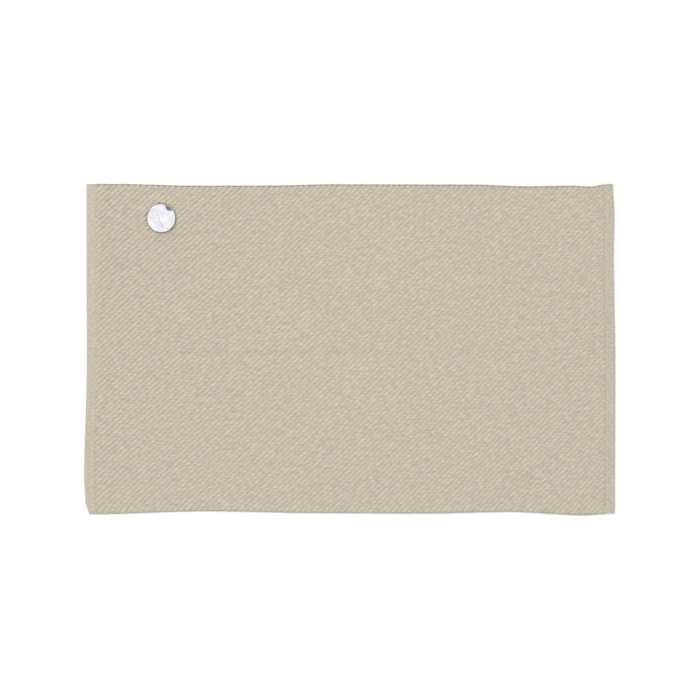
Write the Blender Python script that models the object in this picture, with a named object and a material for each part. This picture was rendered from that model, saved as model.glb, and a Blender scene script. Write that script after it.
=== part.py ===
"""Golf towel with a two-part magnetic clasp, laid flat on a table.

Metres, +Z up. The towel's length runs along X and its width along Y. The origin is on the table, at
the centre of the towel's footprint. The cloth is one diagonal-ribbed field with a woven selvedge along
each long edge and a turned, stitched hem along each short edge. The clasp pinches the cloth near one
corner between two steel caps, each with a magnet kept in by a base plate.
"""

import math

import bmesh
import bpy
from mathutils import Matrix, Vector

# --- Cloth ---------------------------------------------------------------------------------------
TOWEL_LENGTH = 0.610  # over the folds of the two hems
TOWEL_WIDTH = 0.381  # over the two selvedges
CLOTH_THICKNESS = 0.0032  # ribs on both faces included
HEM_WIDTH = 0.0108
HEM_THICKNESS = 0.0027  # three layers of the plain header
SELVEDGE_WIDTH = 0.0020
SELVEDGE_THICKNESS = 0.0024
SEAM_INSET = 0.0014  # from the hem's inner edge to the middle of the seam
THREAD_WIDTH = 0.0007
THREAD_HEIGHT = 0.0004
EDGE_ROUND = 0.0008  # rounding of the hems' and selvedges' long corners
ROUND_SEGMENTS = 2
PIECE_GAP = 0.0003  # between pieces that touch, and between neighbouring stretches of the weave

# --- Clasp ---------------------------------------------------------------------------------------
CLASP_FROM_LEFT = 0.0873  # clasp's axis from the left hem's fold
CLASP_FROM_TOP = 0.0403  # clasp's axis from the top selvedge's edge
CLASP_RADIUS = 0.0160
CAP_WALL = 0.0006
CAP_FACE = 0.0006
CAP_CORNER = 0.0004  # rounding of the cap's outer corner
CORNER_STEPS = 3
CRIMP_HEIGHT = 0.0003
CRIMP_GRIP = 0.0003  # how far the crimped lip reaches under the base plate
BASE_PLATE_THICKNESS = 0.0005
FRONT_MAGNET_THICKNESS = 0.0015
REAR_MAGNET_THICKNESS = 0.0010
PLATE_CLEARANCE = 0.0003  # between the cap's wall and the base plate
MAGNET_CLEARANCE = 0.0008  # between the cap's wall and the magnet
ROUND_STEPS = 48  # sides of a round piece
SHARP_ANGLE = math.radians(35)  # corners sharper than this are drawn sharp
MERGE_DISTANCE = 1e-7

# The cloth climbs over the clasp's rear half and is squeezed thin under the front half.
PINCHED_THICKNESS = 0.0018
PINCH_MARGIN = 0.0005  # the pinched round reaches this far past the caps
SPRING_BACK = 0.0024  # over this distance the pile rises to its full height
FLAT_RIM = 0.0025  # cloth that lies flat between the hump's foot and the field's nearest edge
HUMP_RINGS = 6


def cap_height(magnet_thickness):
    stack = CRIMP_HEIGHT + BASE_PLATE_THICKNESS + magnet_thickness + CAP_FACE
    return stack + 3 * PIECE_GAP


PINCH_RADIUS = CLASP_RADIUS + PINCH_MARGIN
NEAREST_EDGE = min(CLASP_FROM_LEFT - HEM_WIDTH, CLASP_FROM_TOP - SELVEDGE_WIDTH) - PIECE_GAP
HUMP_RADIUS = NEAREST_EDGE - FLAT_RIM
REAR_TOP = cap_height(REAR_MAGNET_THICKNESS)
PINCH_BOTTOM = REAR_TOP + PIECE_GAP
FRONT_BOTTOM = PINCH_BOTTOM + PINCHED_THICKNESS + PIECE_GAP
CLASP_AXIS = Vector((CLASP_FROM_LEFT - TOWEL_LENGTH / 2, TOWEL_WIDTH / 2 - CLASP_FROM_TOP, 0))


# --- Materials -----------------------------------------------------------------------------------
def material(name, colour, roughness, metallic=0.0):
    made = bpy.data.materials.new(name)
    made.use_nodes = True
    made.diffuse_color = (*colour, 1)
    shader = made.node_tree.nodes["Principled BSDF"]
    shader.inputs["Base Color"].default_value = (*colour, 1)
    shader.inputs["Roughness"].default_value = roughness
    shader.inputs["Metallic"].default_value = metallic
    return made


def ribbed_cotton():
    return material("ribbed_cotton", (0.58, 0.52, 0.42), 0.95)


def plain_cotton():
    return material("plain_cotton", (0.57, 0.51, 0.42), 0.9)


def sewing_thread():
    return material("sewing_thread", (0.62, 0.57, 0.46), 0.8)


def polished_steel():
    return material("polished_steel", (0.88, 0.88, 0.91), 0.1, 1.0)


def nickel_plate():
    return material("nickel_plate", (0.66, 0.64, 0.60), 0.25, 1.0)


def black_plastic():
    return material("black_plastic", (0.03, 0.03, 0.035), 0.5)


# --- Shapes --------------------------------------------------------------------------------------
def new_object(name, bm, finish, parent=None):
    bmesh.ops.recalc_face_normals(bm, faces=bm.faces)
    mesh = bpy.data.meshes.new(name)
    bm.to_mesh(mesh)
    bm.free()
    mesh.materials.append(finish)
    obj = bpy.data.objects.new(name, mesh)
    bpy.context.scene.collection.objects.link(obj)
    obj.parent = parent
    return obj


def block(name, size, centre, finish, rounding=0.0):
    """A box of the given size standing with its middle at centre, its lengthwise corners rounded."""
    bm = bmesh.new()
    bmesh.ops.create_cube(bm, size=1.0, matrix=Matrix.Diagonal((*size, 1)))
    obj = new_object(name, bm, finish)
    obj.location = centre
    if rounding:
        bevel = obj.modifiers.new("rounded_corners", "BEVEL")
        bevel.width = rounding
        bevel.segments = ROUND_SEGMENTS
        obj.data.shade_smooth()
        obj.data.set_sharp_from_angle(angle=SHARP_ANGLE)
    return obj


def spin(bm, profile):
    """Turn (radius, height) points, from the Z axis outwards, into a surface about that axis."""
    verts = [bm.verts.new((radius, 0, height)) for radius, height in profile]
    edges = [bm.edges.new(pair) for pair in zip(verts, verts[1:])]
    profile_line = verts + edges
    turn = 2 * math.pi
    bmesh.ops.spin(bm, geom=profile_line, axis=(0, 0, 1), angle=turn, steps=ROUND_STEPS, use_merge=True)
    at_axis = [v for v in bm.verts if math.hypot(v.co.x, v.co.y) < MERGE_DISTANCE]
    bmesh.ops.remove_doubles(bm, verts=at_axis, dist=MERGE_DISTANCE)


def turned(name, profile, finish, parent):
    """A round piece from (radius, height) points that start and end on its axis."""
    bm = bmesh.new()
    spin(bm, profile)
    obj = new_object(name, bm, finish, parent)
    obj.data.shade_smooth()
    obj.data.set_sharp_from_angle(angle=SHARP_ANGLE)
    return obj


# --- Cloth ---------------------------------------------------------------------------------------
def ease(t):
    """From 0 to 1, with no slope at either end."""
    t = min(max(t, 0.0), 1.0)
    return t * t * (3 - 2 * t)


def underside(radius):
    """Height of the cloth's lower face at a distance from the clasp's axis."""
    return PINCH_BOTTOM * (1 - ease((radius - PINCH_RADIUS) / (HUMP_RADIUS - PINCH_RADIUS)))


def cloth_thickness(radius):
    rise = ease((radius - PINCH_RADIUS) / SPRING_BACK)
    return PINCHED_THICKNESS + (CLOTH_THICKNESS - PINCHED_THICKNESS) * rise


def towel_field():
    """The ribbed cloth: a flat sheet with a hump over the clasp's rear half."""
    half_length = TOWEL_LENGTH / 2 - HEM_WIDTH - PIECE_GAP
    half_width = TOWEL_WIDTH / 2 - SELVEDGE_WIDTH - PIECE_GAP
    pile_up = PINCH_RADIUS + SPRING_BACK
    slope = HUMP_RADIUS - pile_up
    radii = [0, PINCH_RADIUS, PINCH_RADIUS + SPRING_BACK / 2]
    radii += [pile_up + slope * i / HUMP_RINGS for i in range(HUMP_RINGS + 1)]
    bm = bmesh.new()
    borders = []
    for upper in (False, True):
        known = set(bm.verts)
        spin(bm, [(r, underside(r) + (cloth_thickness(r) if upper else 0)) for r in radii])
        hump = [v for v in bm.verts if v not in known]
        bmesh.ops.translate(bm, verts=hump, vec=CLASP_AXIS)
        rim = [e for v in hump for e in v.link_edges if e.is_boundary]
        flat = CLOTH_THICKNESS if upper else 0
        corners = ((-1, -1), (1, -1), (1, 1), (-1, 1))
        border = [bm.verts.new((i * half_length, j * half_width, flat)) for i, j in corners]
        border_edges = [bm.edges.new(pair) for pair in zip(border, border[1:] + border[:1])]
        bmesh.ops.triangle_fill(bm, use_beauty=True, edges=border_edges + list(dict.fromkeys(rim)))
        borders.append(border)
    lower, top = borders
    for i in range(len(lower)):
        bm.faces.new((lower[i - 1], lower[i], top[i], top[i - 1]))
    return new_object("towel_field", bm, ribbed_cotton())


def hems():
    """A hem along each short edge, and the thread of its seam."""
    cloth = plain_cotton()
    thread = sewing_thread()
    hem_size = (HEM_WIDTH, TOWEL_WIDTH, HEM_THICKNESS)
    seam_size = (THREAD_WIDTH, TOWEL_WIDTH - 2 * EDGE_ROUND, THREAD_HEIGHT)
    hem_x = TOWEL_LENGTH / 2 - HEM_WIDTH / 2
    seam_x = TOWEL_LENGTH / 2 - HEM_WIDTH + SEAM_INSET
    seam_z = HEM_THICKNESS + PIECE_GAP + THREAD_HEIGHT / 2
    for name, side in (("left", -1), ("right", 1)):
        block(name + "_hem", hem_size, (side * hem_x, 0, HEM_THICKNESS / 2), cloth, EDGE_ROUND)
        block(name + "_hem_thread", seam_size, (side * seam_x, 0, seam_z), thread)


def selvedges():
    """The woven edge along each long side, between the hems."""
    cloth = plain_cotton()
    length = TOWEL_LENGTH - 2 * (HEM_WIDTH + PIECE_GAP)
    size = (length, SELVEDGE_WIDTH, SELVEDGE_THICKNESS)
    middle = TOWEL_WIDTH / 2 - SELVEDGE_WIDTH / 2
    for name, side in (("bottom", -1), ("top", 1)):
        centre = (0, side * middle, SELVEDGE_THICKNESS / 2)
        block(name + "_selvedge", size, centre, cloth, EDGE_ROUND)


# --- Clasp ---------------------------------------------------------------------------------------
def cap_profile(height):
    """A cup open at height 0, from its inner face round the crimped lip to its outer face."""
    inner = CLASP_RADIUS - CAP_WALL
    lip = inner - PLATE_CLEARANCE - CRIMP_GRIP
    corner = []
    for i in range(CORNER_STEPS + 1):
        angle = math.pi / 2 * i / CORNER_STEPS
        across = CLASP_RADIUS - CAP_CORNER + CAP_CORNER * math.cos(angle)
        corner.append((across, height - CAP_CORNER + CAP_CORNER * math.sin(angle)))
    inside = height - CAP_FACE
    hollow = [(0, inside), (inner, inside), (inner, CRIMP_HEIGHT), (lip, CRIMP_HEIGHT), (lip, 0)]
    return [*hollow, (CLASP_RADIUS, 0), *corner, (0, height)]


def disc_profile(radius, low, thickness):
    return [(0, low), (radius, low), (radius, low + thickness), (0, low + thickness)]


def clasp_half(prefix, base, facing, magnet_thickness):
    """Half of the clasp. base is the height of its open side; facing is 1 with its face up, -1 down."""
    pivot = bpy.data.objects.new(prefix + "_half", None)
    pivot.location = CLASP_AXIS + Vector((0, 0, base))
    bpy.context.scene.collection.objects.link(pivot)
    inner = CLASP_RADIUS - CAP_WALL
    plate_low = CRIMP_HEIGHT + PIECE_GAP
    magnet_low = plate_low + BASE_PLATE_THICKNESS + PIECE_GAP
    cap = cap_profile(cap_height(magnet_thickness))
    plate = disc_profile(inner - PLATE_CLEARANCE, plate_low, BASE_PLATE_THICKNESS)
    magnet = disc_profile(inner - MAGNET_CLEARANCE, magnet_low, magnet_thickness)
    pieces = (
        ("_cap", cap, polished_steel()),
        ("_base_plate", plate, black_plastic()),
        ("_magnet", magnet, nickel_plate()),
    )
    for suffix, profile, finish in pieces:
        turned(prefix + suffix, [(r, facing * z) for r, z in profile], finish, pivot)


def clear_scene():
    for obj in list(bpy.data.objects):
        bpy.data.objects.remove(obj)


def main():
    clear_scene()
    towel_field()
    hems()
    selvedges()
    clasp_half("front", FRONT_BOTTOM, 1, FRONT_MAGNET_THICKNESS)
    clasp_half("rear", REAR_TOP, -1, REAR_MAGNET_THICKNESS)


main()
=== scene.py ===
"""The looks of a golf towel with a magnetic clasp, laid flat and seen from above.

The cloth pieces are woven flat and straight, and lay_down() then lays them all in the same way: over
the clasp's rear half, squeezed between the two halves, and with the soft waves of a real towel's edges.
"""

import math

import bmesh
import bpy
import numpy as np
from bpy.props import FloatProperty, FloatVectorProperty, IntProperty, PointerProperty
from mathutils import Matrix, Vector


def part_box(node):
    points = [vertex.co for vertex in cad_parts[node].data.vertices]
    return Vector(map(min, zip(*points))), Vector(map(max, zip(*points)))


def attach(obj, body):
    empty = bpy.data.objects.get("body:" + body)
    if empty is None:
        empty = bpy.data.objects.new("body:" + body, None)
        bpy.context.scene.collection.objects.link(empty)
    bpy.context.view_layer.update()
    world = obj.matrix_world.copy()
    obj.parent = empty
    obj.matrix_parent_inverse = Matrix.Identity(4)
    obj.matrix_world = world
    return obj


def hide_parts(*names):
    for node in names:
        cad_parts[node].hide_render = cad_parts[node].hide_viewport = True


bl_info = {
    "name": "Golf towel",
    "version": (1, 0, 0),
    "blender": (4, 5, 0),
    "location": "3D Viewport > Sidebar > Towel",
    "description": "Builds a ribbed golf towel with a magnetic clasp around its packed frame",
    "category": "Add Mesh",
}

PAINTED_SHADE = "painted_shade_amount"  # attribute: painted shade round the clasp's foot, in the crease and along the top edge, from 0 to 1
FURROW_SHADE = "furrow_shade"  # attribute: painted shade, by how far down a rib's flank a point lies, from 0 to 1
BAKE_MAP = "OFBake"  # the map that colours are baked into
MM = 0.001

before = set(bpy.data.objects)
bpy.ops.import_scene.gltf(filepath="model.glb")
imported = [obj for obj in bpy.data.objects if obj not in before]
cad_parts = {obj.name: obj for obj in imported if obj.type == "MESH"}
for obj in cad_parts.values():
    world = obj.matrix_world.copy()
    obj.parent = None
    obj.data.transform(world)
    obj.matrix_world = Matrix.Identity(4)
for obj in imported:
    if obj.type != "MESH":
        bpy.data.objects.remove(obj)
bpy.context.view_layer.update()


# --- What the frame says ---------------------------------------------------------------------------
def corners_of(node):
    low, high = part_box(node)
    return np.array(low), np.array(high)


FIELD_HIGH = corners_of("towel_field")[1]
HEM_LOW, HEM_HIGH = corners_of("right_hem")
SELVEDGE_LOW, SELVEDGE_HIGH = corners_of("top_selvedge")
REAR_LOW, REAR_HIGH = corners_of("rear_cap")
FRONT_LOW, FRONT_HIGH = corners_of("front_cap")

HALF_LENGTH = float(HEM_HIGH[0])
HALF_WIDTH = float(SELVEDGE_HIGH[1])
HEM_WIDTH = float(HEM_HIGH[0] - HEM_LOW[0])
HEM_THICKNESS = float(HEM_HIGH[2])
FIELD_HALF_LENGTH = float(FIELD_HIGH[0])
FIELD_THICKNESS = 3.2 * MM  # away from the hump over the clasp's rear half
SELVEDGE_WIDTH = float(SELVEDGE_HIGH[1] - SELVEDGE_LOW[1])
CLASP_X, CLASP_Y = (float(v) for v in (FRONT_LOW[:2] + FRONT_HIGH[:2]) / 2)
CLASP_RADIUS = float(FRONT_HIGH[0] - FRONT_LOW[0]) / 2
SEAT_GAP = 0.3 * MM
PINCH_BOTTOM = float(REAR_HIGH[2]) + SEAT_GAP
PINCH_THICKNESS = float(FRONT_LOW[2]) - SEAT_GAP - PINCH_BOTTOM


# --- Settings a user would change ------------------------------------------------------------------
def length(name, description, default, low=0.0):
    return FloatProperty(
        name=name, description=description, default=default, min=low, unit="LENGTH", precision=5
    )


def colour(name, description, hex_code):
    return FloatVectorProperty(
        name=name, description=description, subtype="COLOR", size=3, min=0, max=1, default=linear(hex_code)
    )


def linear(hex_code):
    """An sRGB hex colour as Blender's linear one."""
    parts = [int(hex_code[i : i + 2], 16) / 255 for i in (1, 3, 5)]
    return tuple(c / 12.92 if c <= 0.04045 else ((c + 0.055) / 1.055) ** 2.4 for c in parts)


class ClothSettings(bpy.types.PropertyGroup):
    thickness: length("Thickness", "Of the cloth, with the ribs of both faces", FIELD_THICKNESS)
    ground: length("Ground weave", "Thickness of the plain weave that carries the ribs", 1.8 * MM)
    rib_pitch: length("Rib pitch", "From one rib to the next, square to them", 4.6 * MM, 1 * MM)
    rib_width: length("Rib width", "Of one rib at its foot, which runs in under its neighbours", 5.8 * MM)
    rib_height: length("Rib height", "From the foot of a rib to its crest", 1.0 * MM)
    bead: length("Float length", "Of one float, which shows as a bead along a rib", 4.8 * MM, MM)
    front_step: length("Front step", "Between two rings of a rib on the front", 1.2 * MM, 0.5 * MM)
    back_step: length("Back step", "Between two rings of a rib on the back", 2.4 * MM, 0.5 * MM)
    weft_pitch: length("Weft pitch", "Of the hems' plain weave", 1.4 * MM, 0.5 * MM)
    stitch: length("Stitch length", "From one needle hole to the next", 2.8 * MM, MM)
    thread: length("Thread", "Diameter of the sewing thread", 0.5 * MM)
    rib_colour: colour("Rib colour", "Undyed cotton of the ribs", "#c2baa7")
    # Painted shade: the ground colour is darker than the ribs', so the cloth between them looks shaded.
    ground_colour: colour("Ground colour", "Cotton between the ribs", "#b5ac98")
    hem_colour: colour("Hem colour", "Plain weave of the hems", "#bbb4a2")
    thread_colour: colour("Thread colour", "Sewing thread of the hems", "#c9c2b0")
    # Painted shade: the top edge's colour is darker, as the selvedge's side that turns away from the light.
    top_edge_shade_colour: colour("Top edge colour", "Selvedge nearer the clasp, soiled by handling", "#938a7d")
    bottom_edge_colour: colour("Bottom edge colour", "The other selvedge", "#b5ac9a")
    seed: IntProperty(name="Seed", description="Of the yarn's unevenness", default=7)


class ClaspSettings(bpy.types.PropertyGroup):
    line_length: length("Line length", "Of the engraved alignment line", 15.5 * MM)
    line_width: length("Line width", "Of the engraved alignment line", 0.5 * MM)
    line_turn: FloatProperty(
        name="Line turn",
        description="How far the line leans from the towel's width",
        default=math.radians(23),
        subtype="ANGLE",
    )
    line_aside: length("Line aside", "From the face's centre to the line's middle, square to it", 2.4 * MM)
    line_low: length("Line low", "From the face's centre down to the line's middle, along it", 2.2 * MM)
    corner: length("Rolled corner", "Radius of the caps' rolled corner", 0.3 * MM)
    crown: length("Crown", "How far the face's middle stands above its rim", 0.06 * MM)


class StageSettings(bpy.types.PropertyGroup):
    lens: FloatProperty(
        name="Lens", description="Focal length in millimetres", default=85, min=10, subtype="DISTANCE_CAMERA"
    )
    view_width: length("View width", "What the picture takes in at the floor", 0.8096, 0.1)
    sky: FloatProperty(name="Sky", description="Strength of the all-round white light", default=1.0, min=0)
    key: FloatProperty(name="Key", description="Power of the soft key light in watts", default=12.0, min=0)


# --- Nodes and materials ---------------------------------------------------------------------------
def node(tree, kind, links=None, **settings):
    """Adds a node. links sets its inputs by name or place, to a value, a socket or a node's first output."""
    made = tree.nodes.new(kind)
    for key, value in settings.items():
        setattr(made, key, value)
    for key, value in (links or {}).items():
        if isinstance(value, bpy.types.Node):
            value = value.outputs[0]
        if isinstance(value, bpy.types.NodeSocket):
            tree.links.new(value, made.inputs[key])
        else:
            made.inputs[key].default_value = value
    return made


def new_material(name):
    material = bpy.data.materials.new(name)
    material.use_nodes = True
    tree = material.node_tree
    return material, tree, tree.nodes["Principled BSDF"]


def preset(shader, **values):
    """Sets inputs that are the same all over. An underscore stands for a space in the input's name."""
    for key, value in values.items():
        shader.inputs[key.replace("_", " ")].default_value = value


def rgba(rgb):
    return (*rgb, 1.0)


def scaled(rgb, factor):
    return tuple(min(c * factor, 1.0) for c in rgb)


PAINTED_SHADE_TONE = 0.86  # how bright the full painted shade leaves the cloth
FURROW_SHADE_TONE = 0.73  # painted shade: how bright a rib's foot is beside its crest
STRAND_SPACING = 0.7  # of the yarn's own: wider than real strands, which would be too fine to show
WAVE_SPAN = math.pi / 5  # from one diagonal band of a wave texture to the next, at a scale of 1


def cotton(name, rgb, yarn_mm, turn, depth=0.22, patch=0.025):
    """Spun cotton yarn, matte and a little fuzzy: uneven in tone, with strands slanting along it.

    yarn_mm is the yarn's spacing, turn the way it runs, depth how deep its twist looks and patch how far
    the tone drifts over a hand's width. Where lay_down() marks painted shade, round the clasp's foot, in
    the crease and along the top edge, the colour is darker, and the flanks of the ribs carry painted
    shade too.
    """
    material, tree, shader = new_material(name)
    place = node(tree, "ShaderNodeTexCoord").outputs["Object"]
    along = node(
        tree, "ShaderNodeMapping", {"Vector": place, "Rotation": (0, 0, -turn), "Scale": (0.35, 1.0, 1.0)}
    )
    drift = node(tree, "ShaderNodeTexNoise", {"Vector": place, "Scale": 9.0, "Detail": 2.0})
    yarn = node(tree, "ShaderNodeTexNoise", {"Vector": along, "Scale": 1 / (yarn_mm * 2 * MM), "Detail": 3.0})
    fibre = node(tree, "ShaderNodeTexNoise", {"Vector": place, "Scale": 1 / (0.5 * MM), "Detail": 2.0})
    tones = node(
        tree,
        "ShaderNodeMix",
        {0: drift, 6: rgba(scaled(rgb, 1 - patch)), 7: rgba(scaled(rgb, 1 + patch))},
        data_type="RGBA",
    )
    speckle = node(tree, "ShaderNodeMapRange", {0: yarn, 1: 0.3, 2: 0.7, 3: 1 - depth, 4: 1 + depth * 0.5})
    shade = node(
        tree, "ShaderNodeMix", {0: 1.0, 6: tones.outputs[2], 7: speckle}, data_type="RGBA",
        blend_type="MULTIPLY",
    )
    # Painted shade: darker where lay_down() marked it, round the clasp's foot, in the crease and along the
    # top edge, and down the flanks of the ribs.
    shade_amount = node(tree, "ShaderNodeAttribute", attribute_name=PAINTED_SHADE)
    flat = node(tree, "ShaderNodeMapRange", {0: shade_amount.outputs["Fac"], 3: 1.0, 4: PAINTED_SHADE_TONE})
    furrow_shade = node(tree, "ShaderNodeAttribute", attribute_name=FURROW_SHADE)
    deep = node(tree, "ShaderNodeMapRange", {0: furrow_shade.outputs["Fac"], 3: 1.0, 4: FURROW_SHADE_TONE})
    keep = node(tree, "ShaderNodeMath", {0: flat, 1: deep}, operation="MULTIPLY")
    shaded_colour = node(
        tree, "ShaderNodeMix", {0: 1.0, 6: shade.outputs[2], 7: keep}, data_type="RGBA",
        blend_type="MULTIPLY",
    )
    tree.links.new(shaded_colour.outputs[2], shader.inputs["Base Color"])
    fineness = WAVE_SPAN / (yarn_mm * STRAND_SPACING * MM)
    strand = node(
        tree,
        "ShaderNodeTexWave",
        {"Vector": along, "Scale": fineness, "Distortion": 3.0, "Detail": 2.0},
        bands_direction="DIAGONAL",
    )
    soft = node(tree, "ShaderNodeMath", {0: yarn, 1: fibre}, operation="ADD")
    height = node(
        tree,
        "ShaderNodeMath",
        {0: strand.outputs["Fac"], 1: 0.45, 2: soft},
        operation="MULTIPLY_ADD",
    )
    bump = node(tree, "ShaderNodeBump", {"Height": height, "Strength": 0.5, "Distance": 0.2 * MM})
    tree.links.new(bump.outputs[0], shader.inputs["Normal"])
    rough = node(tree, "ShaderNodeMapRange", {0: fibre, 3: 0.85, 4: 1.0})
    tree.links.new(rough.outputs[0], shader.inputs["Roughness"])
    preset(shader, Sheen_Weight=0.15, Sheen_Roughness=0.6, Specular_IOR_Level=0.2)
    return material


def polished_stainless():
    """Mirror-polished stainless steel: almost a mirror, with faint finger marks and a few dull specks.

    Its hairline scratches are drawn wider than real ones, which would not show. Its colour drifts
    from lavender to near white over the face, as a painted reflection of coloured surroundings.
    """
    material, tree, shader = new_material("polished_stainless")
    place = node(tree, "ShaderNodeTexCoord").outputs["Object"]
    stretched = node(
        tree, "ShaderNodeMapping", {"Vector": place, "Rotation": (0, 0, 0.9), "Scale": (0.04, 1.0, 1.0)}
    )
    scratch = node(tree, "ShaderNodeTexNoise", {"Vector": stretched, "Scale": 1 / (0.3 * MM), "Detail": 2.0})
    marks = node(tree, "ShaderNodeTexNoise", {"Vector": place, "Scale": 1 / (9 * MM), "Detail": 3.0})
    specks = node(tree, "ShaderNodeTexNoise", {"Vector": place, "Scale": 1 / (1.6 * MM), "Detail": 1.0})
    rough = node(tree, "ShaderNodeMapRange", {0: marks, 1: 0.4, 2: 0.7, 3: 0.01, 4: 0.04})
    tree.links.new(rough.outputs[0], shader.inputs["Roughness"])
    bump = node(tree, "ShaderNodeBump", {"Height": scratch, "Strength": 0.012, "Distance": 0.01 * MM})
    tree.links.new(bump.outputs[0], shader.inputs["Normal"])
    # Painted reflection: the base colour drifts from lavender to near white, for coloured surroundings
    # mirrored in the face.
    spread = node(tree, "ShaderNodeMapRange", {0: marks, 1: 0.38, 2: 0.62})
    tint = node(
        tree,
        "ShaderNodeMix",
        {0: spread, 6: rgba(linear("#e8e5f6")), 7: rgba(linear("#fbfafa"))},
        data_type="RGBA",
    )
    dull = node(tree, "ShaderNodeMapRange", {0: specks, 1: 0.64, 2: 0.74, 3: 0.0, 4: 0.7})
    marked = node(
        tree,
        "ShaderNodeMix",
        {0: dull, 6: tint.outputs[2], 7: rgba(linear("#b4b4ba"))},
        data_type="RGBA",
    )
    tree.links.new(marked.outputs[2], shader.inputs["Base Color"])
    preset(shader, Metallic=1.0)
    return material


def engraving_fill():
    """Grey enamel wiped into an engraving: dark, slightly glossy and uneven."""
    material, tree, shader = new_material("engraving_enamel")
    place = node(tree, "ShaderNodeTexCoord").outputs["Object"]
    uneven = node(tree, "ShaderNodeTexNoise", {"Vector": place, "Scale": 1 / (0.8 * MM), "Detail": 2.0})
    tint = node(
        tree,
        "ShaderNodeMix",
        {0: uneven, 6: rgba(linear("#77767c")), 7: rgba(linear("#a9a8b0"))},
        data_type="RGBA",
    )
    tree.links.new(tint.outputs[2], shader.inputs["Base Color"])
    preset(shader, Roughness=0.45)
    return material


def nickel_plated():
    """Satin nickel plate on a sintered magnet: warm grey metal with a fine grain."""
    material, tree, shader = new_material("nickel_plate_satin")
    place = node(tree, "ShaderNodeTexCoord").outputs["Object"]
    grain = node(tree, "ShaderNodeTexNoise", {"Vector": place, "Scale": 1 / (0.4 * MM), "Detail": 3.0})
    rough = node(tree, "ShaderNodeMapRange", {0: grain, 3: 0.22, 4: 0.38})
    tree.links.new(rough.outputs[0], shader.inputs["Roughness"])
    preset(shader, Base_Color=rgba(linear("#cbc7be")), Metallic=1.0)
    return material


def moulded_abs():
    """Black moulded ABS with a spark-eroded grain, which keeps it matte."""
    material, tree, shader = new_material("moulded_abs_black")
    place = node(tree, "ShaderNodeTexCoord").outputs["Object"]
    grain = node(tree, "ShaderNodeTexNoise", {"Vector": place, "Scale": 1 / (0.35 * MM), "Detail": 3.0})
    bump = node(tree, "ShaderNodeBump", {"Height": grain, "Strength": 0.3, "Distance": 0.05 * MM})
    tree.links.new(bump.outputs[0], shader.inputs["Normal"])
    rough = node(tree, "ShaderNodeMapRange", {0: grain, 3: 0.45, 4: 0.65})
    tree.links.new(rough.outputs[0], shader.inputs["Roughness"])
    preset(shader, Base_Color=rgba(linear("#232325")))
    return material


# --- Laying the cloth down -------------------------------------------------------------------------
# How far each edge waves out, in mm, at shares of its half length.
TOP_WAVE = (
    (-1, -0.2), (-0.88, -0.2), (-0.6, -2.2), (-0.31, -2.1), (-0.06, -0.6), (0.45, -0.9),
    (0.67, -3), (0.84, -2.4), (0.92, -3.2), (0.98, -0.1), (1, 0),
)
BOTTOM_WAVE = ((-1, 0.5), (-0.54, -3), (-0.1, -0.8), (0.26, -0.3), (0.6, -2.2), (0.88, 1.7), (1, -0.3))
LEFT_WAVE = ((-1, -2.6), (-0.92, 1.3), (-0.77, 2.7), (-0.1, -0.3), (1, 0))
RIGHT_WAVE = ((-1, 0.3), (-0.14, 1), (0.55, -0.8), (0.8, 0), (1, -1.8))
WAVE_REACH = 60 * MM  # how far into the cloth an edge's wave is felt
WEAVE_STRETCH = 9.5 * MM  # how far the weave's middle has slid towards its right-hand end
FLAT_RIM = 2.5 * MM  # cloth that lies flat between the hump's foot and the selvedge
PINCH_MARGIN = 0.5 * MM  # round the clasp, where the cloth is still squeezed
PROUD = 1.03  # how far a swelling rib may stand above the cloth's thickness
UNDERSIDE = 0.02 * MM  # nothing lies lower than this
RIPPLE = 0.25 * MM
RIPPLE_SPANS = (23 * MM, 31 * MM)  # along and across the towel
SPRING_BACK = 2.4 * MM  # over this distance from the clasp the pile rises again
CREASE_Y = -3.8 * MM  # the old fold across the towel's width
CREASE_ENDS = (-231 * MM, 57 * MM)
CREASE_DEPTH = 0.45 * MM
CREASE_WIDTH = 3.2 * MM
CREASE_FADES = (30 * MM, 60 * MM)  # how gently it starts and ends
CREASE_SHADE = 0.35  # painted shade in the crease, as a share of the full painted shade
TAPER = 3.5 * MM  # over this distance the ribs sink to the hem
TOP_EDGE_SHADE = 0.5  # painted shade along the top edge, as a share of the full painted shade
TOP_EDGE_SHADE_REACH = 2.2 * MM
WEAR = 0.5  # share of the pile worn off at the corner opposite the clasp
WEAR_REACH = 1.3  # how soon the wear is felt, from the clasp's corner
WEAR_ACROSS = 0.2  # how much of it comes from the place across the towel


def ease(t):
    t = np.clip(t, 0.0, 1.0)
    return t * t * (3 - 2 * t)


def wave(crests, share):
    """Smooth curve through crests and troughs, level at each."""
    at = np.clip(share, -1.0, 1.0)
    out = np.zeros_like(at)
    for (start, low), (end, high) in zip(crests, crests[1:]):
        inside = (at >= start) & (at <= end)
        out[inside] = low + (high - low) * ease((at[inside] - start) / (end - start))
    return out * MM


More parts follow.
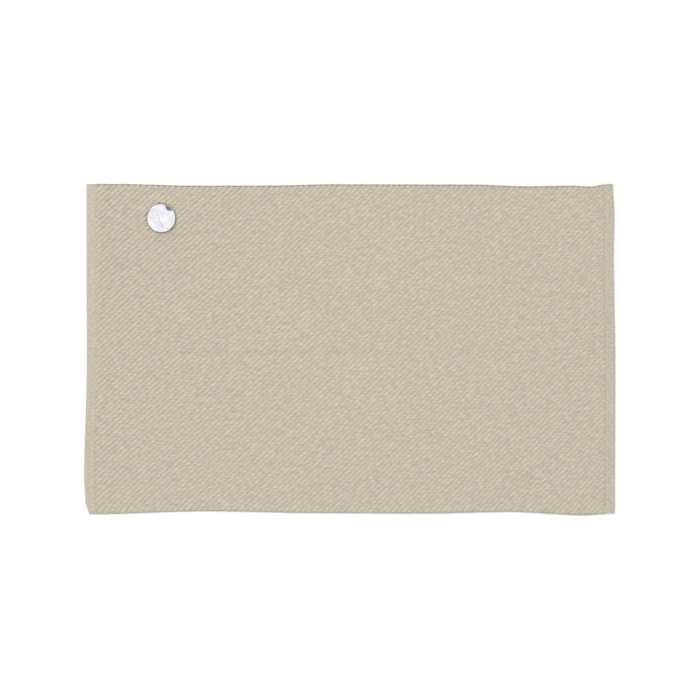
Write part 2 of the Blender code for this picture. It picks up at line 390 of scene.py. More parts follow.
def lay_down(piece, thickness):
    """Lays a flat, straight piece of cloth as the towel lies. Every cloth piece goes through this."""
    mesh = piece.data
    points = np.empty(len(mesh.vertices) * 3)
    mesh.vertices.foreach_get("co", points)
    points = points.reshape(-1, 3)
    x, y, z = points.T.copy()
    # Painted shade along the top edge, fading inwards.
    edge_shade = TOP_EDGE_SHADE * np.exp(-np.maximum(HALF_WIDTH - y, 0) / TOP_EDGE_SHADE_REACH)
    inside = np.clip(x / FIELD_HALF_LENGTH, -1, 1)
    x = x + WEAVE_STRETCH * (1 - inside**2)
    side = np.where(x > 0, wave(RIGHT_WAVE, y / HALF_WIDTH), -wave(LEFT_WAVE, y / HALF_WIDTH))
    end = np.where(y > 0, wave(TOP_WAVE, x / HALF_LENGTH), -wave(BOTTOM_WAVE, x / HALF_LENGTH))
    side *= np.exp(-np.maximum(HALF_LENGTH - abs(x), 0) / WAVE_REACH)
    end *= np.exp(-np.maximum(HALF_WIDTH - abs(y), 0) / WAVE_REACH)
    x, y = x + side, y + end
    away = np.hypot(x - CLASP_X, y - CLASP_Y)
    pinch = CLASP_RADIUS + PINCH_MARGIN
    foot = HALF_WIDTH - CLASP_Y - SELVEDGE_WIDTH - SEAT_GAP - FLAT_RIM
    lift = PINCH_BOTTOM * (1 - ease((away - pinch) / (foot - pinch)))
    full = ease((away - pinch) / SPRING_BACK)
    z = np.clip(z, UNDERSIDE, thickness * PROUD)
    squeeze = (PINCH_THICKNESS + (thickness - PINCH_THICKNESS) * full) / thickness
    ripple = RIPPLE * (1 + np.sin(x / RIPPLE_SPANS[0] + 1.3) * np.sin(y / RIPPLE_SPANS[1] + 0.4)) * full
    ends = ease((x - CREASE_ENDS[0]) / CREASE_FADES[0]) * ease((CREASE_ENDS[1] - x) / CREASE_FADES[1])
    crease = CREASE_DEPTH * ends * np.exp(-(((y - CREASE_Y) / CREASE_WIDTH) ** 2))
    z = z * squeeze + lift + ripple - crease * z / thickness
    mesh.vertices.foreach_set("co", np.column_stack((x, y, z)).ravel())
    # Painted shade round the clasp's foot, in the crease and along the top edge.
    shade_amount = mesh.attributes.new(PAINTED_SHADE, "FLOAT", "POINT")
    shade_amount.data.foreach_set("value", np.maximum(crease / CREASE_DEPTH * CREASE_SHADE, 1 - full) + edge_shade)
    mesh.update()


# --- Meshes ----------------------------------------------------------------------------------------
def link(name, mesh, material=None):
    piece = bpy.data.objects.new(name, mesh)
    bpy.context.scene.collection.objects.link(piece)
    if material:
        mesh.materials.append(material)
    return piece


def mesh_of(name, points, faces):
    mesh = bpy.data.meshes.new(name)
    mesh.from_pydata([tuple(p) for p in points], [], faces)
    mesh.validate()
    return mesh


def smooth(mesh):
    mesh.shade_smooth()
    mesh.set_sharp_from_angle(angle=math.radians(50))


def grown(name, base, tree, values):
    """Runs a node tree on a mesh and returns the result as a plain piece, with no modifier left."""
    seed_piece = link(name + "_seed", base)
    modifier = seed_piece.modifiers.new("grow", "NODES")
    modifier.node_group = tree
    for item in tree.interface.items_tree:
        if item.item_type == "SOCKET" and item.in_out == "INPUT" and item.name in values:
            modifier[item.identifier] = values[item.name]
    evaluated = seed_piece.evaluated_get(bpy.context.evaluated_depsgraph_get())
    mesh = bpy.data.meshes.new_from_object(evaluated)
    bpy.data.objects.remove(seed_piece)
    return link(name, mesh)


def new_tree(name, floats, others=()):
    """A geometry tree with a geometry going in and out, and its named inputs."""
    tree = bpy.data.node_groups.new(name, "GeometryNodeTree")
    tree.interface.new_socket("Geometry", in_out="INPUT", socket_type="NodeSocketGeometry")
    for label in floats:
        tree.interface.new_socket(label, in_out="INPUT", socket_type="NodeSocketFloat")
    for label, kind in others:
        tree.interface.new_socket(label, in_out="INPUT", socket_type=kind)
    tree.interface.new_socket("Geometry", in_out="OUTPUT", socket_type="NodeSocketGeometry")
    return tree, node(tree, "NodeGroupInput").outputs


RING = 6  # sides of a rib
CREST = 2  # which of its points is the highest
FACING_UP, FACING_DOWN = -1.0, 1.0  # a section drawn upright lies upside down on its line
STITCH_RING = 5
STITCH_STEPS = 5


def yarn_tree():
    """Turns each edge into a rib: a flattened roll of yarn whose floats swell and narrow along it."""
    sizes = ("Step", "Width", "Height", "Facing", "Roundness", "Float Length")
    chances = ("Swell", "Unevenness", "Wander", "Seed")
    tree, given = new_tree("ribs_of_yarn", sizes + chances, (("Material", "NodeSocketMaterial"),))
    math_node = "ShaderNodeMath"
    line = node(tree, "GeometryNodeMeshToCurve", {0: given["Geometry"]})
    fine = node(tree, "GeometryNodeResampleCurve", {0: line}, mode="LENGTH")
    tree.links.new(given["Step"], fine.inputs["Length"])
    place = node(tree, "GeometryNodeInputPosition")
    shifted = node(tree, "ShaderNodeVectorMath", {0: place, 1: given["Seed"]}, operation="ADD")
    slow = node(tree, "ShaderNodeTexNoise", {"Vector": shifted, "Scale": 60.0, "Detail": 1.0}).outputs
    quick = node(tree, "ShaderNodeTexNoise", {"Vector": shifted, "Scale": 330.0, "Detail": 1.0}).outputs
    centred = node(tree, "ShaderNodeVectorMath", {0: quick[1], 1: (0.5, 0.5, 0.5)}, operation="SUBTRACT")
    offset = node(tree, "ShaderNodeVectorMath", {0: centred, "Scale": given["Wander"]}, operation="SCALE")
    moved = node(tree, "GeometryNodeSetPosition", {0: fine, "Offset": offset})
    upright = node(tree, "GeometryNodeSetCurveNormal", {0: moved}, mode="Z_UP")
    run = node(tree, "GeometryNodeSplineParameter").outputs["Length"]
    floats = node(tree, math_node, {0: run, 1: given["Float Length"]}, operation="DIVIDE")
    drift = node(tree, math_node, {0: slow[0], 1: 4.0}, operation="MULTIPLY")
    turns = node(tree, math_node, {0: floats, 1: drift}, operation="ADD")
    angle = node(tree, math_node, {0: turns, 1: 2 * math.pi}, operation="MULTIPLY")
    bead = node(tree, math_node, {0: angle}, operation="SINE")
    swell = node(tree, math_node, {0: bead, 1: given["Swell"]}, operation="MULTIPLY")
    level = node(tree, math_node, {0: quick[0], 1: 0.5}, operation="SUBTRACT")
    rough = node(tree, math_node, {0: level, 1: given["Unevenness"]}, operation="MULTIPLY")
    change = node(tree, math_node, {0: swell, 1: rough}, operation="ADD")
    size = node(tree, math_node, {0: change, 1: 1.0}, operation="ADD")
    # The section's six points: a soft ridge with its foot inside the ground weave, or a round roll.
    index = node(tree, "GeometryNodeInputIndex")
    foot = node(tree, math_node, {0: index, 1: RING - 1.5}, operation="GREATER_THAN")
    count = node(tree, math_node, {0: index, 1: foot}, operation="ADD")
    swing = node(tree, math_node, {0: count, 1: math.pi / 4}, operation="MULTIPLY")
    wide = node(tree, math_node, {0: swing}, operation="COSINE")
    tall = node(tree, math_node, {0: swing}, operation="SINE")
    roll = node(tree, "ShaderNodeCombineXYZ", {0: wide, 1: tall, 2: 0.0})
    halves = node(tree, math_node, {0: index, 1: 0.5}, operation="MULTIPLY")
    level_x = node(tree, math_node, {0: 1.0, 1: halves}, operation="SUBTRACT")
    above = node(tree, math_node, {0: 1.0, 1: foot}, operation="SUBTRACT")
    across = node(tree, math_node, {0: level_x, 1: above}, operation="MULTIPLY")
    from_crest = node(tree, math_node, {0: index, 1: 2.0}, operation="SUBTRACT")
    down = node(tree, math_node, {0: from_crest}, operation="ABSOLUTE")
    up = node(tree, math_node, {0: 1.0, 1: down}, operation="SUBTRACT")
    ridge = node(tree, "ShaderNodeCombineXYZ", {0: across, 1: up, 2: 0.0})
    unit = node(
        tree, "ShaderNodeMix", {0: given["Roundness"], 4: ridge, 5: roll}, data_type="VECTOR"
    ).outputs[1]
    section = node(tree, "ShaderNodeCombineXYZ", {0: given["Width"], 1: given["Height"], 2: 1.0})
    placed = node(tree, "ShaderNodeVectorMath", {0: unit, 1: section}, operation="MULTIPLY")
    turned_up = node(tree, "ShaderNodeVectorMath", {0: placed, "Scale": given["Facing"]}, operation="SCALE")
    half = node(tree, "ShaderNodeVectorMath", {0: turned_up, "Scale": 0.5}, operation="SCALE")
    ring = node(tree, "GeometryNodeCurvePrimitiveCircle", {"Resolution": RING, "Radius": 0.5})
    flat = node(tree, "GeometryNodeSetPosition", {0: ring, "Position": half})
    swept = node(
        tree,
        "GeometryNodeCurveToMesh",
        {0: upright, 1: flat, "Scale": size, "Fill Caps": True},
    )
    return close_tree(tree, swept, given["Material"])


def stitch_tree():
    """Lays a short bowed stitch of thread at every needle hole along a line."""
    tree, given = new_tree("lockstitches", ("Stitch", "Thread"), (("Material", "NodeSocketMaterial"),))
    line = node(tree, "GeometryNodeMeshToCurve", {0: given["Geometry"]})
    holes = node(tree, "GeometryNodeCurveToPoints", {0: line}, mode="LENGTH")
    tree.links.new(given["Stitch"], holes.inputs["Length"])
    span = node(tree, "ShaderNodeMath", {0: given["Stitch"], 1: 0.82}, operation="MULTIPLY")
    far = node(tree, "ShaderNodeCombineXYZ", {0: 0.0, 1: 0.0, 2: span})
    middle = node(tree, "ShaderNodeVectorMath", {0: far, "Scale": 0.5}, operation="SCALE")
    bow = node(tree, "ShaderNodeVectorMath", {0: middle, 1: (0.0, 0.3 * MM, 0.0)}, operation="ADD")
    arc = node(
        tree,
        "GeometryNodeCurveQuadraticBezier",
        {"Resolution": STITCH_STEPS, "Start": (0, 0, 0), "Middle": bow, "End": far},
    )
    half = node(tree, "ShaderNodeMath", {0: given["Thread"], 1: 0.5}, operation="MULTIPLY")
    ring = node(tree, "GeometryNodeCurvePrimitiveCircle", {"Resolution": STITCH_RING, "Radius": half})
    stitch = node(tree, "GeometryNodeCurveToMesh", {0: arc, 1: ring, "Fill Caps": True})
    row = node(
        tree,
        "GeometryNodeInstanceOnPoints",
        {0: holes, "Instance": stitch, "Rotation": holes.outputs["Rotation"]},
    )
    return close_tree(tree, row, given["Material"])


def close_tree(tree, made, material):
    """Ends a tree: instances made real, shaded smooth, with their material."""
    real = node(tree, "GeometryNodeRealizeInstances", {0: made})
    shaded = node(tree, "GeometryNodeSetShadeSmooth", {0: real})
    finished = node(tree, "GeometryNodeSetMaterial", {0: shaded, "Material": material})
    node(tree, "NodeGroupOutput", {0: finished})
    return tree


def lines_mesh(name, lines):
    """One edge for each (start, end)."""
    points = [p for line in lines for p in line]
    mesh = bpy.data.meshes.new(name)
    mesh.from_pydata(points, [(2 * i, 2 * i + 1) for i in range(len(lines))], [])
    return mesh


def settle(mesh, ground_top):
    """Lets ribs sink to the hem's height as they reach it, and wears them lower away from the clasp.

    ground_top is the height of the plain weave's upper face, above which the pile stands. Each point is
    marked with how far it lies down the rib's flank, for painted shade that darkens the rib towards its
    foot and counts for less where wear has lowered the rib.
    """
    points = np.empty(len(mesh.vertices) * 3)
    mesh.vertices.foreach_get("co", points)
    points = points.reshape(-1, 3)
    x, y, z = points.T
    handled = (x + FIELD_HALF_LENGTH) / (2 * FIELD_HALF_LENGTH) + WEAR_ACROSS * (HALF_WIDTH - y) / HALF_WIDTH
    along = ease(handled * WEAR_REACH)
    pile = np.maximum(z - ground_top, 0)
    z -= pile * WEAR * along
    inside = ease((FIELD_HALF_LENGTH + SEAT_GAP - abs(x)) / TAPER)
    z *= (HEM_THICKNESS + (FIELD_THICKNESS - HEM_THICKNESS) * inside) / FIELD_THICKNESS
    mesh.vertices.foreach_set("co", points.ravel())
    # Painted shade down each rib's flank, less where wear has lowered the rib.
    down = np.minimum(abs(np.arange(len(points)) % RING - CREST) / 2, 1.0)
    furrow_shade = mesh.attributes.new(FURROW_SHADE, "FLOAT", "POINT")
    furrow_shade.data.foreach_set("value", down * (1 - WEAR * along))


def bake_strips(mesh, ring, step):
    """Unrolls pieces made of rings, one after another, into rows of a map for baking.

    ring is the number of points in a ring and step the distance between rings. The cap at each end of a
    roll goes in the free place between it and the next.
    """
    corners = np.empty(len(mesh.loops), dtype=np.int64)
    mesh.loops.foreach_get("vertex_index", corners)
    starts = np.empty(len(mesh.polygons), dtype=np.int64)
    mesh.polygons.foreach_get("loop_start", starts)
    counts = np.diff(np.append(starts, len(corners)))
    at, around = corners // ring, corners % ring
    first = np.minimum.reduceat(at, starts)
    last = np.maximum.reduceat(at, starts)
    spread = np.maximum.reduceat(around, starts) - np.minimum.reduceat(around, starts)
    if (last - first).max() > 1:
        raise RuntimeError(f"{mesh.name} isn't made of rings of {ring}")
    is_cap = np.repeat(last == first, counts)
    closes = np.repeat(spread > 1, counts) & ~is_cap
    place = np.repeat(first, counts)
    around = np.where(closes & (around == 0), ring, around)
    rolls_on = np.zeros(len(mesh.vertices) // ring + 1, dtype=bool)
    rolls_on[first[last > first]] = True
    opens = is_cap & rolls_on[place]
    girth = sum((mesh.vertices[i].co - mesh.vertices[(i + 1) % ring].co).length for i in range(ring))
    rows = max(1, round(math.sqrt(len(rolls_on) * step / girth)))
    row_size = math.ceil((len(rolls_on) + 1) / rows)
    slot = np.where(opens, place - 1, place) % (rows * row_size)
    turn = 2 * math.pi * around / ring
    across = np.where(is_cap, np.where(opens, 0.75, 0.25) + 0.15 * np.cos(turn), at - place)
    upward = np.where(is_cap, 0.5 + 0.3 * np.sin(turn), 0.05 + 0.9 * around / ring)
    uv = np.column_stack(((slot % row_size + across) / row_size, (slot // row_size + upward) / rows))
    layer = mesh.uv_layers.new(name=BAKE_MAP)
    layer.data.foreach_set("uv", uv.ravel())


def rib_lines(pitch, height, shift):
    """Start and end of each diagonal rib, from the lower left corner's to the upper right's."""
    half_length = FIELD_HALF_LENGTH + 0.6 * MM
    half_width = HALF_WIDTH - 1.5 * MM
    step = pitch * math.sqrt(2)
    lines = []
    count = int((half_length + half_width) / step) + 1
    for k in range(-count, count + 1):
        c = (k + shift) * step
        left = max(-half_length, -half_width - c)
        right = min(half_length, half_width - c)
        if right - left > 3 * MM:
            lines.append(((left, left + c, height), (right, right + c, height)))
    return lines


def shared_out(lines, shares):
    """Splits the ribs into groups of about the same total length."""
    run = np.cumsum([math.dist(*line) for line in lines])
    group = np.minimum((run / run[-1] * shares).astype(int), shares - 1)
    return [[line for line, g in zip(lines, group) if g == i] for i in range(shares)]


class GOLFTOWEL_OT_ground(bpy.types.Operator):
    """Weave the ground cloth that carries the ribs"""

    bl_idname = "golftowel.ground"
    bl_label = "Ground cloth"

    def execute(self, context):
        cloth = context.scene.golftowel_cloth
        across, up = 196, 126  # squares of about 3 mm
        half_length, half_width = FIELD_HALF_LENGTH + SEAT_GAP + 0.1 * MM, HALF_WIDTH - 1.2 * MM
        xs = np.linspace(-half_length, half_length, across + 1)
        ys = np.linspace(-half_width, half_width, up + 1)
        low = (cloth.thickness - cloth.ground) / 2
        points = [(x, y, low) for y in ys for x in xs]
        faces = []
        for j in range(up):
            for i in range(across):
                a = j * (across + 1) + i
                faces.append((a, a + 1, a + across + 2, a + across + 1))
        sheet = link("ground_cloth", mesh_of("ground_cloth", points, faces))
        sheet.data.materials.append(cotton("cotton_ground_weave", cloth.ground_colour, 0.7, 0.0))
        body = sheet.modifiers.new("thickness", "SOLIDIFY")
        body.thickness = cloth.ground
        body.offset = 1
        evaluated = sheet.evaluated_get(context.evaluated_depsgraph_get())
        mesh = bpy.data.meshes.new_from_object(evaluated)
        sheet.modifiers.clear()
        sheet.data = mesh
        lay_down(sheet, cloth.thickness)
        smooth(mesh)
        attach(sheet, "towel")
        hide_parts("towel_field")
        return {"FINISHED"}


class GOLFTOWEL_OT_ribs(bpy.types.Operator):
    """Weave the diagonal ribs of both faces"""

    bl_idname = "golftowel.ribs"
    bl_label = "Diagonal ribs"

    def execute(self, context):
        cloth = context.scene.golftowel_cloth
        tree = yarn_tree()
        material = cotton("cotton_rib_yarn", cloth.rib_colour, 0.9, math.radians(45))
        height = cloth.rib_height
        faces = (
            ("front", cloth.thickness - height / 2, 0.0, FACING_UP, cloth.front_step, 3),
            ("back", height / 2, 0.5, FACING_DOWN, cloth.back_step, 2),
        )
        for face, middle, shift, facing, step, shares in faces:
            groups = shared_out(rib_lines(cloth.rib_pitch, middle, shift), shares)
            for i, lines in enumerate(groups):
                name = f"{face}_ribs_{i + 1}"
                values = {
                    "Step": step,
                    "Width": cloth.rib_width,
                    "Height": height,
                    "Facing": facing,
                    "Roundness": 0.0,
                    "Float Length": cloth.bead,
                    "Swell": 0.1,
                    "Unevenness": 0.25,
                    "Wander": 0.45 * MM,
                    "Seed": float(cloth.seed),
                    "Material": material,
                }
                ribs = grown(name, lines_mesh(name, lines), tree, values)
                settle(ribs.data, (cloth.thickness + cloth.ground) / 2)
                bake_strips(ribs.data, RING, step)
                lay_down(ribs, cloth.thickness)
                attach(ribs, "towel")
        return {"FINISHED"}


class GOLFTOWEL_OT_selvedges(bpy.types.Operator):
    """Weave the firm edge along each long side"""

    bl_idname = "golftowel.selvedges"
    bl_label = "Selvedges"

    def execute(self, context):
        cloth = context.scene.golftowel_cloth
        tree = bpy.data.node_groups["ribs_of_yarn"]
        thickness = float(SELVEDGE_HIGH[2])
        middle = HALF_WIDTH - SELVEDGE_WIDTH / 2
        end = FIELD_HALF_LENGTH + 0.2 * MM
        step = 0.8 * MM
        # The top selvedge's colour is painted shade.
        sides = (("bottom", -1, cloth.bottom_edge_colour), ("top", 1, cloth.top_edge_shade_colour))
        for name, side, rgb in sides:
            material = cotton(f"cotton_{name}_selvedge_yarn", rgb, 0.6, 0.0)
            y, z = side * middle, thickness / 2
            mesh = lines_mesh(name, [((-end, y, z), (end, y, z))])
            values = {
                "Step": step,
                "Width": SELVEDGE_WIDTH,
                "Height": thickness,
                "Facing": FACING_UP,
                "Roundness": 1.0,
                "Float Length": cloth.weft_pitch * 2,
                "Swell": 0.06,
                "Unevenness": 0.2,
                "Wander": 0.25 * MM,
                "Seed": float(cloth.seed + side),
                "Material": material,
            }
            edge = grown(f"{name}_edge", mesh, tree, values)
            bake_strips(edge.data, RING, step)
            lay_down(edge, cloth.thickness)
            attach(edge, "towel")
            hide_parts(f"{name}_selvedge")
        return {"FINISHED"}


WEFT_RELIEF = 0.06 * MM  # of the hems' plain weave


class GOLFTOWEL_OT_hems(bpy.types.Operator):
    """Fold the plain ends under"""

    bl_idname = "golftowel.hems"
    bl_label = "Hems"

    def execute(self, context):
        cloth = context.scene.golftowel_cloth
        material = cotton("cotton_plain_weave", cloth.hem_colour, 0.7, 0.0, 0.22)
        fold = HEM_THICKNESS / 2
        # Round the folded end, from its inner edge over the top, round the fold and back underneath.
        section = [(0.0, HEM_THICKNESS * 0.9), (HEM_WIDTH * 0.1, HEM_THICKNESS * 0.98)]
        section += [(HEM_WIDTH * t, HEM_THICKNESS) for t in (0.2, 0.4, 0.6, 0.8)]
        section += [
            (HEM_WIDTH - fold + fold * math.cos(a), fold + fold * math.sin(a))
            for a in np.radians((80, 50, 20, -10, -40, -70))
        ]
        section += [(HEM_WIDTH * t, 0.0) for t in (0.8, 0.5, 0.2, 0.0)]
        size = len(section)
        rows = int(2 * HALF_WIDTH / (cloth.weft_pitch / 4))
        for name, side in (("left", -1), ("right", 1)):
            points = []
            for row in range(rows + 1):
                y = -HALF_WIDTH + 2 * HALF_WIDTH * row / rows
                ridge = WEFT_RELIEF * math.cos(2 * math.pi * y / cloth.weft_pitch)
                from_end = min(row, rows - row) / 4
                blunt = 1 if from_end > 1 else 0.55 + 0.45 * math.sqrt(from_end * (2 - from_end))
                for across, z in section:
                    up = (z - fold) * blunt + fold
                    up += ridge * (1 if z > fold else -1)
                    points.append((side * (HALF_LENGTH - HEM_WIDTH + across), y, max(up, 0.0)))
            faces = []
            for row in range(rows):
                for i in range(size):
                    j = (i + 1) % size
                    a, b = row * size, (row + 1) * size
                    faces.append((a + i, a + j, b + j, b + i))
            faces.append(tuple(range(size)))
            faces.append(tuple(rows * size + i for i in range(size)))
            mesh = mesh_of(f"{name}_hem_band", points, faces)
            bm = bmesh.new()
            bm.from_mesh(mesh)
            bmesh.ops.recalc_face_normals(bm, faces=bm.faces)
            bm.to_mesh(mesh)
            bm.free()
            bake_strips(mesh, size, cloth.weft_pitch / 4)
            band = link(f"{name}_hem_band", mesh, material)
            lay_down(band, cloth.thickness)
            smooth(mesh)
            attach(band, "towel")
            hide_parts(f"{name}_hem")
        return {"FINISHED"}


class GOLFTOWEL_OT_seams(bpy.types.Operator):
    """Sew each hem down with a row of lockstitches on its upper face"""

    bl_idname = "golftowel.seams"
    bl_label = "Seams"

    def execute(self, context):
        cloth = context.scene.golftowel_cloth
        tree = stitch_tree()
        material = cotton("spun_polyester_thread", cloth.thread_colour, 0.3, math.pi / 2, 0.1)
        for name in ("left", "right"):
            low, high = corners_of(f"{name}_hem_thread")
            x = float(low[0] + high[0]) / 2
            ends = [float(low[1]) + cloth.stitch / 2, float(high[1]) - cloth.stitch / 2]
            z = HEM_THICKNESS - 0.05 * MM
            row = lines_mesh(name, [((x, ends[0], z), (x, ends[1], z))])
            values = {"Stitch": cloth.stitch, "Thread": cloth.thread, "Material": material}
            stitches = grown(f"{name}_hem_stitches", row, tree, values)
            bake_strips(stitches.data, STITCH_RING, cloth.stitch / STITCH_STEPS)
            lay_down(stitches, cloth.thickness)
            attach(stitches, "towel")
            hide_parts(f"{name}_hem_thread")
        return {"FINISHED"}


# --- Clasp -----------------------------------------------------------------------------------------
LATHE_STEPS = 128
CROWN_RINGS = (0.985, 0.95, 0.85, 0.7, 0.5, 0.3, 0.15)  # shares of the flat face's radius
ENAMEL_RISE = 0.02 * MM  # the filled line stands this far above the steel, so that it shows


def turned(name, profile, facing, base):
    """Turns (radius, height) points about the clasp's axis. They start and end on it."""
    bm = bmesh.new()
    verts = [bm.verts.new((r, 0, facing * z)) for r, z in profile]
    edges = [bm.edges.new(pair) for pair in zip(verts, verts[1:])]
    whole = verts + edges
    bmesh.ops.spin(bm, geom=whole, axis=(0, 0, 1), angle=2 * math.pi, steps=LATHE_STEPS, use_merge=True)
    at_axis = [v for v in bm.verts if math.hypot(v.co.x, v.co.y) < 1e-7]
    bmesh.ops.remove_doubles(bm, verts=at_axis, dist=1e-7)
    bmesh.ops.recalc_face_normals(bm, faces=bm.faces)
    bmesh.ops.translate(bm, verts=bm.verts, vec=(CLASP_X, CLASP_Y, base))
    mesh = bpy.data.meshes.new(name)
    bm.to_mesh(mesh)
    bm.free()
    smooth(mesh)
    return mesh


def cap_profile(height, settings):
    """A drawn steel cap: flat inside, a rolled lip below, and a crowned face with a rolled corner."""
    wall, face, crimp, lip = 0.6 * MM, 0.6 * MM, 0.3 * MM, 0.6 * MM
    inner = CLASP_RADIUS - wall
    hollow = [(0, height - face), (inner, height - face), (inner, crimp), (inner - lip, crimp)]
    hollow += [(inner - lip, 0.08 * MM), (inner - lip + 0.08 * MM, 0)]
    low = [(CLASP_RADIUS - 0.15 * MM, 0), (CLASP_RADIUS, 0.15 * MM)]
    corner = []
    rim = height - settings.crown
    for angle in np.linspace(0, math.pi / 2, 9):
        across = CLASP_RADIUS - settings.corner * (1 - math.cos(angle))
        corner.append((across, rim - settings.corner * (1 - math.sin(angle))))
    flat = CLASP_RADIUS - settings.corner
    crown = [(flat * t, rim + settings.crown * (1 - t * t)) for t in CROWN_RINGS]
    return [*hollow, *low, *corner, *crown, (0, height)]


class GOLFTOWEL_OT_caps(bpy.types.Operator):
    """Draw the clasp's two steel caps"""

    bl_idname = "golftowel.caps"
    bl_label = "Clasp caps"

    def execute(self, context):
        clasp = context.scene.golftowel_clasp
        material = polished_stainless()
        halves = (("front", FRONT_LOW, FRONT_HIGH, 1), ("rear", REAR_LOW, REAR_HIGH, -1))
        for name, low, high, facing in halves:
            base = float(low[2] if facing > 0 else high[2])
            profile = cap_profile(float(high[2] - low[2]), clasp)
            mesh = turned(f"{name}_steel_cap", profile, facing, base)
            cap = link(f"{name}_steel_cap", mesh, material)
            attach(cap, f"{name}_shell")
            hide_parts(f"{name}_cap")
        return {"FINISHED"}


class GOLFTOWEL_OT_engraving(bpy.types.Operator):
    """Engrave a plain alignment line with a tick at each end"""

    bl_idname = "golftowel.engraving"
    bl_label = "Alignment line"

    def execute(self, context):
        clasp = context.scene.golftowel_clasp
        top = float(FRONT_HIGH[2])
        bm = bmesh.new()
        half = clasp.line_length / 2
        bars = [(0.0, 0.0, clasp.line_width / 2, half)]
        bars += [(0.0, end * half, 1.1 * MM, clasp.line_width / 2) for end in (-1, 1)]
        bars += [(0.0, end * half / 2, 0.7 * MM, clasp.line_width / 2) for end in (-1, 1)]
        reach = CLASP_RADIUS - clasp.corner
        for x, y, wide, tall in bars:
            box = bmesh.ops.create_cube(bm, size=2.0)["verts"]
            for v in box:
                v.co = (x + v.co.x * wide, y + v.co.y * tall, v.co.z * ENAMEL_RISE)
        for v in bm.verts:
            v.co.x -= clasp.line_aside
            v.co.y -= clasp.line_low
            v.co.z -= clasp.crown * (v.co.x**2 + v.co.y**2) / reach**2
        bmesh.ops.rotate(bm, verts=bm.verts, matrix=Matrix.Rotation(clasp.line_turn, 3, "Z"))
        bmesh.ops.translate(bm, verts=bm.verts, vec=(CLASP_X, CLASP_Y, top))
        mesh = bpy.data.meshes.new("alignment_line")
        bm.to_mesh(mesh)
        bm.free()
        line = link("alignment_line", mesh, engraving_fill())
        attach(line, "front_shell")
        return {"FINISHED"}


class GOLFTOWEL_OT_inner_pieces(bpy.types.Operator):
    """Finish the base plates and magnets, which keep their own shape"""

    bl_idname = "golftowel.inner_pieces"
    bl_label = "Plates and magnets"

    def execute(self, context):
        for kind, material in (("base_plate", moulded_abs()), ("magnet", nickel_plated())):
            for half in ("front", "rear"):
                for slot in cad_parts[f"{half}_{kind}"].material_slots:
                    slot.material = material
        return {"FINISHED"}


class GOLFTOWEL_OT_declare(bpy.types.Operator):
    """Does nothing"""

    bl_idname = "golftowel.declare"
    bl_label = "Cut size"

    def execute(self, context):
        return {"FINISHED"}


# --- Stage -----------------------------------------------------------------------------------------
VIEW_CENTRE = (-0.46 * MM, -1.44 * MM)
KEY_PLACE = (-0.75, 0.75, 1.8)
KEY_SIZE = 0.3
FLOOR_HALF = 4.0
FLOOR_DROP = 0.2 * MM  # just under the towel, so the two never flicker
CARD_RISE = 1.02  # the card's height, in camera heights
CARD_SPREAD = 4.0 * MM  # what the flat mirror and its slight crown make of 1 mm on the face
CARD_SPOTS = ((7.0, 8.2), (12.4, 8.6), (60.0, 42.0), (18.0, 60.0), (4.2, 15.4))
CARD_FADE = (8.2, 2.3)  # where its fade begins and how far it goes


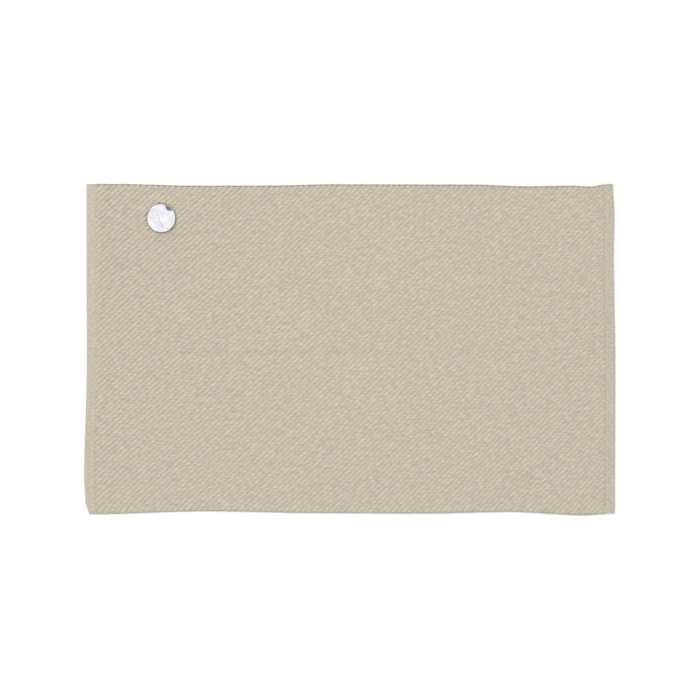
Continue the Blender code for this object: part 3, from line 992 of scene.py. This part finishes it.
class GOLFTOWEL_OT_stage(bpy.types.Operator):
    """Set out the floor, the soft light and the camera straight above"""

    bl_idname = "golftowel.stage"
    bl_label = "Stage"

    def execute(self, context):
        scene = context.scene
        stage = scene.golftowel_stage
        scene.view_settings.view_transform = "Standard"
        self.floor()
        self.light(scene, stage)
        camera_data = bpy.data.cameras.new("overhead")
        camera_data.lens = stage.lens
        camera = bpy.data.objects.new("overhead", camera_data)
        height = stage.view_width * stage.lens / camera_data.sensor_width
        camera.location = (*VIEW_CENTRE, height)
        scene.collection.objects.link(camera)
        scene.camera = camera
        self.flag(height)
        return {"FINISHED"}

    def floor(self):
        signs = ((-1, -1), (1, -1), (1, 1), (-1, 1))
        points = [(x * FLOOR_HALF, y * FLOOR_HALF, -FLOOR_DROP) for x, y in signs]
        mesh = mesh_of("floor", points, [(0, 1, 2, 3)])
        # Matte white board: no gloss, so the towel stands on an even ground without a reflection.
        material, _, shader = new_material("matte_white_board")
        preset(shader, Base_Color=(0.93, 0.93, 0.93, 1), Roughness=1.0, Specular_IOR_Level=0.0)
        link("floor", mesh, material)

    def light(self, scene, stage):
        world = bpy.data.worlds.new("soft_studio")
        world.use_nodes = True
        sky = world.node_tree.nodes["Background"]
        sky.inputs["Color"].default_value = (1.0, 1.0, 1.0, 1)
        sky.inputs["Strength"].default_value = stage.sky
        scene.world = world
        lamp = bpy.data.lights.new("key", "AREA")
        lamp.energy = stage.key
        lamp.size = KEY_SIZE
        key = bpy.data.objects.new("key", lamp)
        key.location = KEY_PLACE
        key.rotation_euler = Vector(-key.location).to_track_quat("-Z", "Y").to_euler()
        scene.collection.objects.link(key)

    def flag(self, height):
        """A dark card just above the camera, which the polished face mirrors near its upper right rim.

        Its corners are given as the spots of the face, in mm from its centre, that mirror them. The far
        ones lie where the rolled corner looks. The card fades towards its lower edge.
        """
        seen = 1 + CARD_RISE
        middle = Vector((CLASP_X * seen, CLASP_Y * seen, height * CARD_RISE))
        points = [middle + Vector((x * CARD_SPREAD, y * CARD_SPREAD, 0)) for x, y in CARD_SPOTS]
        mesh = mesh_of("flag", points, [range(len(points))])
        # Matte brown-grey card, which gives the steel something dark to mirror.
        material, tree, shader = new_material("dark_card")
        place = node(tree, "ShaderNodeTexCoord").outputs["Object"]
        up = node(tree, "ShaderNodeSeparateXYZ", {0: place}).outputs["Y"]
        low = middle.y + CARD_FADE[0] * CARD_SPREAD
        share = node(tree, "ShaderNodeMapRange", {0: up, 1: low, 2: low + CARD_FADE[1] * CARD_SPREAD})
        tint = node(
            tree,
            "ShaderNodeMix",
            {0: share, 6: rgba(linear("#9a9294")), 7: rgba(linear("#686059"))},
            data_type="RGBA",
        )
        tree.links.new(tint.outputs[2], shader.inputs["Base Color"])
        preset(shader, Roughness=1.0)
        link("flag", mesh, material)


# --- Add-on ----------------------------------------------------------------------------------------
OPERATORS = (
    GOLFTOWEL_OT_ground,
    GOLFTOWEL_OT_ribs,
    GOLFTOWEL_OT_selvedges,
    GOLFTOWEL_OT_hems,
    GOLFTOWEL_OT_seams,
    GOLFTOWEL_OT_caps,
    GOLFTOWEL_OT_engraving,
    GOLFTOWEL_OT_inner_pieces,
    GOLFTOWEL_OT_declare,
    GOLFTOWEL_OT_stage,
)


class GOLFTOWEL_PT_panel(bpy.types.Panel):
    bl_idname = "GOLFTOWEL_PT_panel"
    bl_label = "Golf towel"
    bl_space_type = "VIEW_3D"
    bl_region_type = "UI"
    bl_category = "Towel"

    def draw(self, context):
        for kind in OPERATORS:
            self.layout.operator(kind.bl_idname)


SETTINGS = {
    "golftowel_cloth": ClothSettings,
    "golftowel_clasp": ClaspSettings,
    "golftowel_stage": StageSettings,
}
CLASSES = (*SETTINGS.values(), *OPERATORS, GOLFTOWEL_PT_panel)


def register():
    for kind in CLASSES:
        bpy.utils.register_class(kind)
    for name, kind in SETTINGS.items():
        setattr(bpy.types.Scene, name, PointerProperty(type=kind))


def unregister():
    for name in SETTINGS:
        delattr(bpy.types.Scene, name)
    for kind in reversed(CLASSES):
        bpy.utils.unregister_class(kind)


def main():
    register()
    for kind in OPERATORS:
        group, name = kind.bl_idname.split(".")
        getattr(getattr(bpy.ops, group), name)()


if __name__ == "__main__":
    main()
